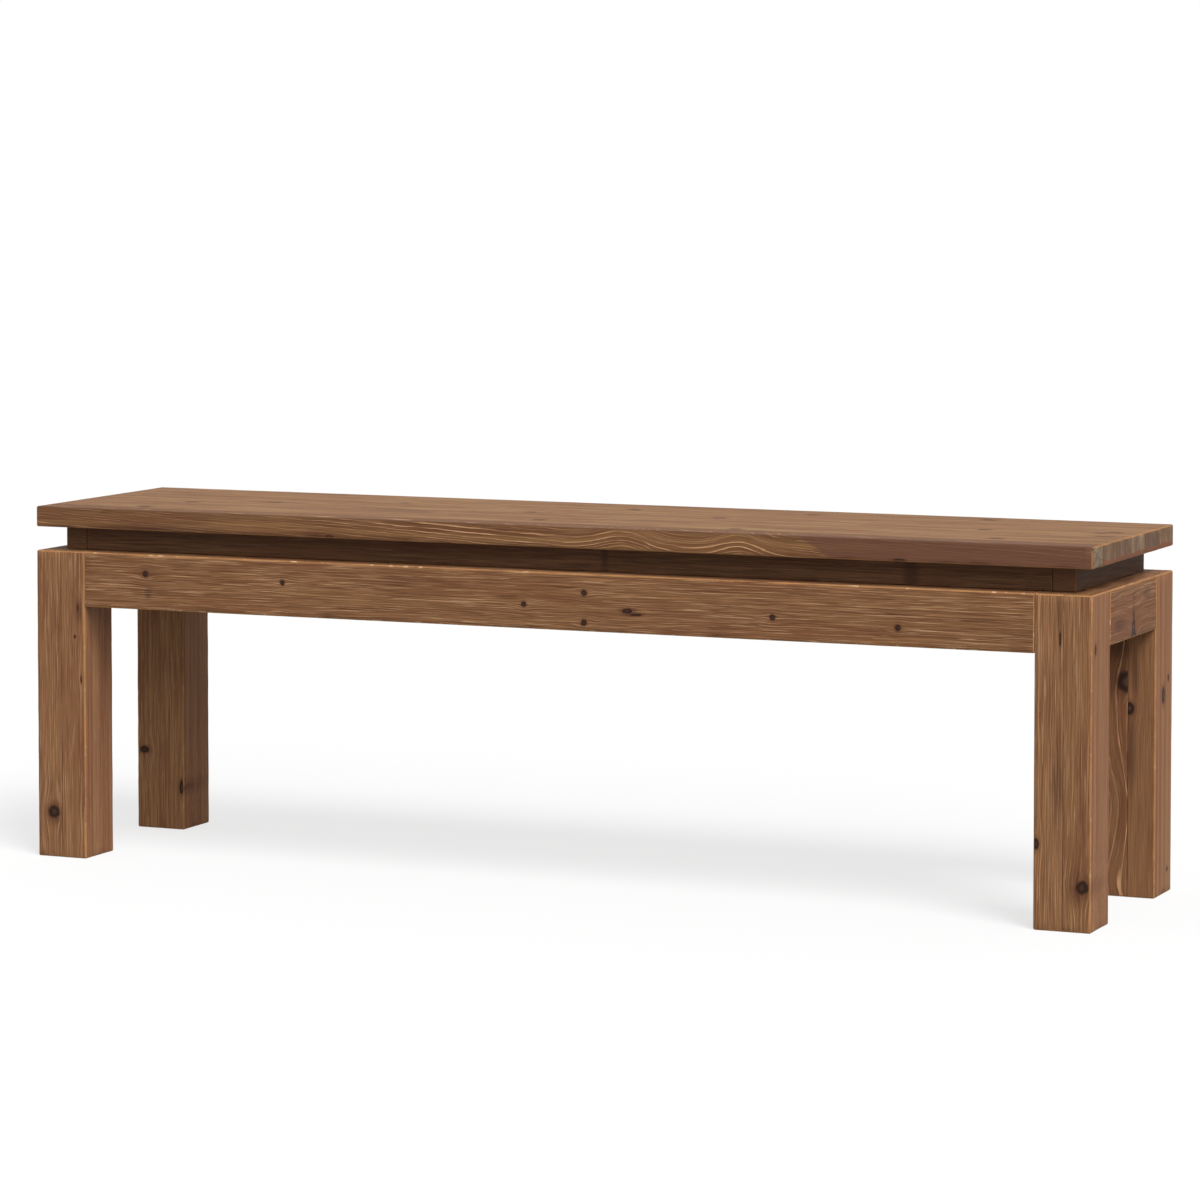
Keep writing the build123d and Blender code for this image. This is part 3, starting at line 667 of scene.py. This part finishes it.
# A rolled thread: one ridge wound up the core, which starts at the given level
thread, given = new_group(
    "rolled_thread",
    {"Radius": "Float", "Ridge": "Float", "Pitch": "Float", "From": "Float", "Length": "Float"},
    {"Thread": "Geometry"}, "GeometryNodeTree")
turns = node(thread, MATH, {0: given["Length"], 1: given["Pitch"]}, operation="DIVIDE")
winding = node(thread, MATH, {0: given["Radius"], 1: given["Ridge"]}, operation="SUBTRACT")
coil = node(thread, "GeometryNodeCurveSpiral",
            {"Resolution": 20, "Rotations": turns, "Start Radius": winding, "End Radius": winding,
             "Height": given["Length"]})
coil = node(thread, "GeometryNodeSetCurveNormal", {0: coil}, mode="Z_UP")
ridge = node(thread, "GeometryNodeCurvePrimitiveCircle", {"Resolution": 4, "Radius": given["Ridge"]})
coil = node(thread, "GeometryNodeCurveToMesh", {"Curve": coil, "Profile Curve": ridge, "Fill Caps": True})
node(thread, "NodeGroupOutput", {"Thread": raised(thread, coil, given["From"])})


def wound(tree, radius, ridge, pitch, start, length):
    """A thread of the given sizes, as a part of another fastener."""
    return node(tree, "GeometryNodeGroup", {"Radius": radius, "Ridge": ridge, "Pitch": pitch, "From": start,
                                            "Length": length}, node_tree=thread)


BRACE_LEVEL = 385.0
CORNER_SIGNS = [(-1, -1), (1, -1), (-1, 1), (1, 1)]


def on_the_diagonals(across):
    """The bolt line's point in each corner, as far in from both outer faces, amid the braces."""
    return [(right * (750 - across), back * (175 - across), BRACE_LEVEL) for right, back in CORNER_SIGNS]


INWARD = [(-right, -back, 0) for right, back in CORNER_SIGNS]
LEG_FLAT_ACROSS = 70.0
BRACE_FACE_ACROSS = LEG_FLAT_ACROSS + 31 / 2**0.5
BOLT_RADIUS, BOLT_IN, BOLT_OUT, BOLT_BEVEL = 4.0, 40.0, 44.5, 1.2
BOLT = {
    "Core": 0.86 * BOLT_RADIUS, "Stem": BOLT_OUT - BOLT_BEVEL, "Rim": 0.68 * BOLT_RADIUS,
    "Bevel": BOLT_BEVEL, "Radius": BOLT_RADIUS, "Ridge": 0.13 * BOLT_RADIUS, "Pitch": 1.25,
    "Thread from": 5.5, "Thread": BOLT_OUT - 7, "Tip": 0.4, "Root": 0.7 * BOLT_RADIUS, "In leg": BOLT_IN,
    "Tip level": -BOLT_IN, "Wood ridge": 0.18 * BOLT_RADIUS, "Wood pitch": 3.2, "Bite from": 6 - BOLT_IN,
    "Bite": BOLT_IN - 8,
}
bolts, given = fastener_tree("hanger_bolt", BOLT)
set_in_place(bolts, given, node(bolts, "GeometryNodeJoinGeometry", {0: [
    lathed(bolts, 28, given["Core"], given["Core"], given["Stem"]),
    lathed(bolts, 28, given["Core"], given["Rim"], given["Bevel"], given["Stem"]),
    wound(bolts, given["Radius"], given["Ridge"], given["Pitch"], given["Thread from"], given["Thread"]),
    lathed(bolts, 28, given["Tip"], given["Root"], given["In leg"], given["Tip level"]),
    wound(bolts, given["Radius"], given["Wood ridge"], given["Wood pitch"], given["Bite from"],
          given["Bite"]),
]}))
zinc_plate = zinc("bright_zinc_plate", "#c3c6c9", "#999ea3", 0.28)
fasten("threaded_hanger_bolts", bolts, on_the_diagonals(LEG_FLAT_ACROSS), INWARD, BOLT, zinc_plate,
       "hanger_bolts")

# Washers: zinc-plated steel discs, 24 mm across and 2 mm thick, punched from sheet with soft edges. They
# keep the nuts from sinking into the pine.
WASHER_OUTER, WASHER_BORE, WASHER_THICK = 12.0, 4.1, 2.0
WASHER = {"Middle": (WASHER_OUTER + WASHER_BORE) / 2, "Band": WASHER_OUTER - WASHER_BORE,
          "Thick": WASHER_THICK, "Half": WASHER_THICK / 2, "Soft edge": 0.35}
washers, given = fastener_tree("pressed_washer", WASHER)
path = node(washers, "GeometryNodeCurvePrimitiveCircle", {"Resolution": 48, "Radius": given["Middle"]})
section = node(washers, "GeometryNodeCurvePrimitiveQuadrilateral", {"Width": given["Band"],
                                                                    "Height": given["Thick"]})
section = node(washers, "GeometryNodeFilletCurve",
               {"Curve": section, "Count": 2, "Radius": given["Soft edge"]}, mode="POLY")
disc = node(washers, "GeometryNodeCurveToMesh", {"Curve": path, "Profile Curve": section})
set_in_place(washers, given, raised(washers, disc, given["Half"]))
fasten("pressed_brace_washers", washers, on_the_diagonals(BRACE_FACE_ACROSS), INWARD, WASHER, zinc_plate,
       "brace_washers")

# Nuts: zinc-plated steel, 13 mm across the flats, chamfered on both faces. They are run down the bolts onto
# the washers.
NUT_FLATS, NUT_HIGH = 13.0, 6.5
NUT = {"Corner": NUT_FLATS / 2 / cos(radians(30)), "Crown": 0.49 * NUT_FLATS,
       "Skirt": 0.49 * NUT_FLATS + 1.9 * NUT_HIGH, "High": NUT_HIGH, "Bore": 4.1, "Drill": 40.0}
nuts, given = fastener_tree("chamfered_nut", NUT)
prism = lathed(nuts, 6, given["Corner"], given["Corner"], given["High"])
prism = node(nuts, "GeometryNodeTransform", {"Geometry": prism, "Rotation": (0.0, 0.0, radians(30))})
upper = lathed(nuts, 36, given["Skirt"], given["Crown"], given["High"])
lower = lathed(nuts, 36, given["Crown"], given["Skirt"], given["High"])
hexagon = node(nuts, "GeometryNodeMeshBoolean", {1: [prism, upper, lower]}, operation="INTERSECT",
               solver="EXACT")
drill = node(nuts, "GeometryNodeMeshCylinder",
             {"Vertices": 28, "Radius": given["Bore"], "Depth": given["Drill"]})
bored = node(nuts, "GeometryNodeMeshBoolean", {0: hexagon, 1: drill}, operation="DIFFERENCE",
             solver="EXACT")
set_in_place(nuts, given, bored)
fasten("chamfered_brace_nuts", nuts, on_the_diagonals(BRACE_FACE_ACROSS + WASHER_THICK / 2**0.5), INWARD,
       NUT, zinc_plate, "brace_nuts")

# Spacer ring: four pine rails under the seat, set in 30 mm, so that the seat floats over a shadow gap. The
# end rails run the full depth, and the long ones butt between them.
RING = {
    "spacer_rail_left": (1, ALONG_Y, (-700, 0, 380), (5, 3)),
    "spacer_rail_right": (1, ALONG_Y, (700, 0, 480), (-6, 3)),
    "spacer_rail_front": (0, ALONG_X, (0, -100, 440), (3, 4)),
    "spacer_rail_back": (0, ALONG_X, (0, 80, 420), (-3, 4)),
}
RING_STAINS = {"spacer_rail_front": [(82.5, -145, 436, 5, 60, 40), (502.7, -145, 436, 11, 60, 40)]}
for name, (grain, turn, pith, lean) in RING.items():
    seed = 31.0 + 3.1 * len(name) + pith[0] / 100
    across = 1 - grain
    shows = [(across, 1), (across, -1), (2, 1), (2, -1), (grain, 1), (grain, -1)]
    rail = dressed_board(name, grain, shows, seed, inner=[(across, 1 if pith[across] < 0 else -1)])
    # The ring rails get painted shade for the shadow gap: the long rails keep 60 % of their colour, the end
    # rails 43 %
    rail.data.materials.append(
        brushed_pine(f"brushed_pine_{name}", turn, seed, pith, lean, 4.4, stains=RING_STAINS.get(name, ()),
                     pale=0.3, dashes=0.25, tone=-0.05, painted_shade=0.43 if grain else 0.6,
                     rub=1.05 if grain else 0.45, nick=0.3, sawn=("#946541", "#7d5436", "#a8774c"),
                     pore=(34, 1.2), blot=(60, 17))
    )
    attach(rail, "root")
    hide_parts(name)

# Spacer battens: two sawn pine battens across the ring, each over a cross rail. They carry the pull of the
# long screws up to the seat.
for name in ("spacer_batten_left", "spacer_batten_right"):
    set_sawn_pine(name, ALONG_Y, 91.0 + middle_of(name).x / 100, 36, (-5, 3))

# Seat: six pine staves glued edge to edge, planed to 28 mm, brushed and stained like the frame. The front
# stave is trimmed narrow, and its edge shows a wavy, flat-sawn figure that turns plain and red to the right.
STAVE_KNOTS = {
    1: [(-302.3, -175, 454.3, 6, 6, 2), (497.4, -175, 454.1, 8, 8, 2)],
    2: [(-611.2, -121.8, 480, 9, 8, 60), (-33.5, -96.1, 480, 9, 6, 60),
        (254.3, -118.3, 480, 9, 5, 60), (602.2, -108.9, 480, 9, 6, 60)],
    3: [(-587.7, -30, 480, 9, 6, 60), (720, -30, 480, 12, 4, 60)],
    4: [(-478.8, 9.3, 480, 9, 6, 60), (-92.1, 7.9, 480, 8, 5, 60), (173.6, 25.6, 480, 9, 6, 60),
        (550.0, 2.0, 480, 9, 5, 60), (716.1, 28.9, 480, 9, 5, 60), (702, 12, 480, 8, 4, 60)],
    5: [(20.9, 98, 480, 8, 5, 60), (-310, 70, 480, 7, 5, 60)],
    6: [(269.7, 118, 480, 8, 5, 60), (510.4, 139.8, 480, 10, 6, 60)],
}
STAVE_PITH = {1: (0, -168, 400), 2: (0, -28, 425), 3: (0, -122, 532), 4: (0, 96, 418), 5: (0, -4, 540),
              6: (0, 66, 420)}
STAVE_ENDS = {
    1: ("#7c6851", "#574636", "#917d63"), 2: ("#74573f", "#5a4231", "#866a4e"),
    3: ("#6d513c", "#523c2d", "#80624a"), 4: ("#8c7157", "#4a362d", "#a28666"),
    5: ("#644b3b", "#4d382c", "#785b45"), 6: ("#795b41", "#5c4331", "#8c6d4f"),
}
STAVE_FROM = {2: -133.0, 3: -73.5, 4: -14.0, 5: 45.5, 6: 108.5}
STAVE_STROKES = {2: 0.3, 3: 0.55, 4: 0.75, 5: 0.4, 6: 0.45}
for number in range(1, 7):
    name = f"seat_stave_{number}"
    seed = 50.0 + 4.3 * number
    shows = [(2, 1), (2, -1), (0, 1), (0, -1)]
    lean = (5 - number, number)
    wood = {"pale": 0.7, "dashes": 0.5, "bold": 0.85, "tone": 0.03 * (number % 3) + 0.04, "red": 0.05,
            "yellow": 0.8, "streaked": 0.55, "knotty": 0.7, "heart": "#5a3b29", "pore": (1.3, 30.0),
            "blot": (17, 60)}
    if number == 1:
        shows.append((1, -1))
        lean = (0, -50)
        wood = {"line": 0.58, "pale": 1.8, "dashes": 0.3, "tone": -0.15, "bold": 0.55, "sway": 8.0,
                "red": 0.3, "yellow": 0.6, "streaked": 0.1, "pore": (2.2, 3.0),
                "plain": (1153, 1.65, 0.1), "swells": [((122, -175, 466, 42, 90, 60), (0, 0, -14)),
                                                       ((282, -175, 466, 36, 90, 60), (0, 0, -13))],
                # Two long dark bands lie along the lower edge of its left half, darkest at the bottom edge
                "stains": [(-400, -175, 450, 420, 60, 7), (-560, -175, 450, 130, 60, 13)]}
    else:
        wood["foot"] = (459.0, "#7a4831", STAVE_FROM[number], STAVE_STROKES[number])
    if number == 6:
        shows.append((1, 1))
    # The top front arris stays crisp, with a painted shadow line along it
    stave = dressed_board(name, 0, shows, seed, crisp_shadow_line=((2, 1), (1, -1)))
    stave.data.materials.append(
        brushed_pine(f"brushed_pine_{name}", ALONG_X, seed, STAVE_PITH[number], lean, 4.4,
                     STAVE_KNOTS[number], rub=0.6, nick=0.0, sawn=STAVE_ENDS[number], **wood)
    )
    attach(stave, "root")
    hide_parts(name)

# Seat screws: six flat-headed wood screws in yellow zinc, driven up through the ring into the seat, their
# heads flush with its underside and each with a cross recess.
HEAD, SHANK, POINT = 4.5, 2.25, 7.0
RECESS_REACH, RECESS_BROAD = 4.8, 1.1


def screw_sizes(length):
    """The sizes of a wood screw that runs down from level zero, the top of a flat head or the foot of a
    pan head."""
    return {"Head": HEAD, "Shank": SHANK, "Core": 0.68 * SHANK, "Tip": 0.2, "Point": POINT,
            "Tip level": -length, "Straight": length - POINT, "Point level": POINT - length,
            "Ridge": 0.2 * SHANK, "Pitch": 2.2, "Thread from": 6 - length, "Thread": length - 12}


def cross_recess(tree, level, deep):
    """The cutter of a cross recess, two crossed bars that enter the head from the given level."""
    bars = [node(tree, "GeometryNodeMeshCube", {"Size": [part * MM for part in size]})
            for size in ((RECESS_REACH, RECESS_BROAD, 2 * deep), (RECESS_BROAD, RECESS_REACH, 2 * deep))]
    cross = node(tree, "GeometryNodeMeshBoolean", {1: bars}, operation="UNION", solver="EXACT")
    return raised(tree, cross, level)


def whole_screw(tree, given, head, recess):
    """A head with its recess cut, over its core, its point and its wood thread."""
    head = node(tree, "GeometryNodeMeshBoolean", {0: head, 1: recess}, operation="DIFFERENCE",
                solver="EXACT")
    return node(tree, "GeometryNodeJoinGeometry", {0: [
        head,
        lathed(tree, 20, given["Tip"], given["Core"], given["Point"], given["Tip level"]),
        lathed(tree, 20, given["Core"], given["Core"], given["Straight"], given["Point level"]),
        wound(tree, given["Shank"], given["Ridge"], given["Pitch"], given["Thread from"],
              given["Thread"]),
    ]})


DOWN = (0, 0, -1)
FLAT_SCREW = {**screw_sizes(50.0), "Sink": HEAD - SHANK, "Sink level": SHANK - HEAD}
flat_screws, given = fastener_tree("flat_head_screw", FLAT_SCREW)
cone = lathed(flat_screws, 32, given["Shank"], given["Head"], given["Sink"], given["Sink level"])
set_in_place(flat_screws, given, whole_screw(flat_screws, given, cone, cross_recess(flat_screws, 0.0, 1.7)))
yellow_zinc = zinc("yellow_zinc_plate", "#c7a460", "#a98a55", 0.3)
seat_spots = [(right * 420, back * 121.5, 420) for right, back in CORNER_SIGNS]
fasten("flat_head_seat_screws", flat_screws, seat_spots + [(-696.5, 0, 420), (696.5, 0, 420)],
       [DOWN] * 6, FLAT_SCREW, yellow_zinc, "seat_screws")

# Cross rail screws: four long pan-headed wood screws in yellow zinc, deep in the rails' counterbores. They
# pull seat, battens and rails together.
DOME, BALL = 3.0, 1.3 * HEAD
PAN_SCREW = {**screw_sizes(80.0), "Dome": DOME, "Ball": BALL, "Ball level": DOME - BALL}
pan_screws, given = fastener_tree("pan_head_screw", PAN_SCREW)
blank = lathed(pan_screws, 32, given["Head"], given["Head"], given["Dome"])
ball = node(pan_screws, "GeometryNodeMeshUVSphere",
            {"Segments": 32, "Rings": 20, "Radius": given["Ball"]})
ball = raised(pan_screws, ball, given["Ball level"])
domed = node(pan_screws, "GeometryNodeMeshBoolean", {1: [blank, ball]}, operation="INTERSECT",
             solver="EXACT")
recess = cross_recess(pan_screws, given["Dome"], 1.9)
set_in_place(pan_screws, given, whole_screw(pan_screws, given, domed, recess))
rail_spots = [(right * 225, back * 70, 390) for right, back in CORNER_SIGNS]
fasten("pan_head_cross_rail_screws", pan_screws, rail_spots, [DOWN] * 4, PAN_SCREW, yellow_zinc,
       "cross_rail_screws")

# Studio: a plain pale floor, a soft high key light from the front right, and a low fill light that reaches
# under the apron to the back legs and into the shadow gap. The camera is the photograph's.
for name, toward, energy, spread in (("soft_key", (0.52, -0.39, 0.78), 2.5, 26),
                                     ("low_fill", (0.55, -0.8, 0.56), 0.9, 30)):
    light = bpy.data.lights.new(name, "SUN")
    light.energy = energy
    light.angle = radians(spread)
    set_up(name, light).rotation_euler = Vector(toward).to_track_quat("Z", "Y").to_euler()


def seen_directly(tree):
    """1 for what the camera sees, also in a reflection or through glass, and 0 for light that bounces."""
    path = node(tree, "ShaderNodeLightPath").node.outputs
    seen = path["Is Camera Ray"]
    for ray in ("Is Glossy Ray", "Is Transmission Ray"):
        seen = node(tree, MATH, {0: seen, 1: path[ray]}, operation="MAXIMUM")
    return seen


world = bpy.data.worlds.new("pale_studio")
bpy.context.scene.world = world
tree = cleared(world)
strength = node(tree, MAP_RANGE, {0: seen_directly(tree), 3: 0.38, 4: 1.0})
sky = node(tree, "ShaderNodeBackground", {"Color": (1.0, 1.0, 1.0, 1.0), "Strength": strength})
node(tree, "ShaderNodeOutputWorld", {0: sky})

floor_mesh = bpy.data.meshes.new("pale_floor")
floor_form = bmesh.new()
bmesh.ops.create_circle(floor_form, cap_ends=True, segments=96, radius=30.0)
floor_form.to_mesh(floor_mesh)
floor_form.free()
floor = set_up("pale_floor", floor_mesh)
paper = bpy.data.materials.new("white_studio_paper")
tree = cleared(paper)
bounce = node(tree, "ShaderNodeBsdfDiffuse", {"Color": linear("#a8a8a8")})
sheet = node(tree, "ShaderNodeBsdfDiffuse", {"Color": linear("#ebebeb")})
glow = node(tree, "ShaderNodeEmission", {"Color": (1.0, 1.0, 1.0, 1.0), "Strength": 1.04})
shown = node(tree, "ShaderNodeMixShader", {0: 0.32, 1: glow, 2: sheet})
mixed = node(tree, "ShaderNodeMixShader", {0: seen_directly(tree), 1: bounce, 2: shown})
node(tree, "ShaderNodeOutputMaterial", {0: mixed})
floor_mesh.materials.append(paper)

camera_data = bpy.data.cameras.new("photo_view")
camera_data.sensor_width = 36.0
camera_data.lens = 134.4998
camera_data.shift_y = -0.18
camera_data.clip_end = 100.0
camera = set_up("photo_view", camera_data)
camera.location = (2.391634, -5.450026, 0.997686)
camera.rotation_euler = (radians(90 - 3.29979), 0.0, radians(23.58454))
bpy.context.scene.camera = camera
bpy.context.scene.view_settings.view_transform = "Standard"
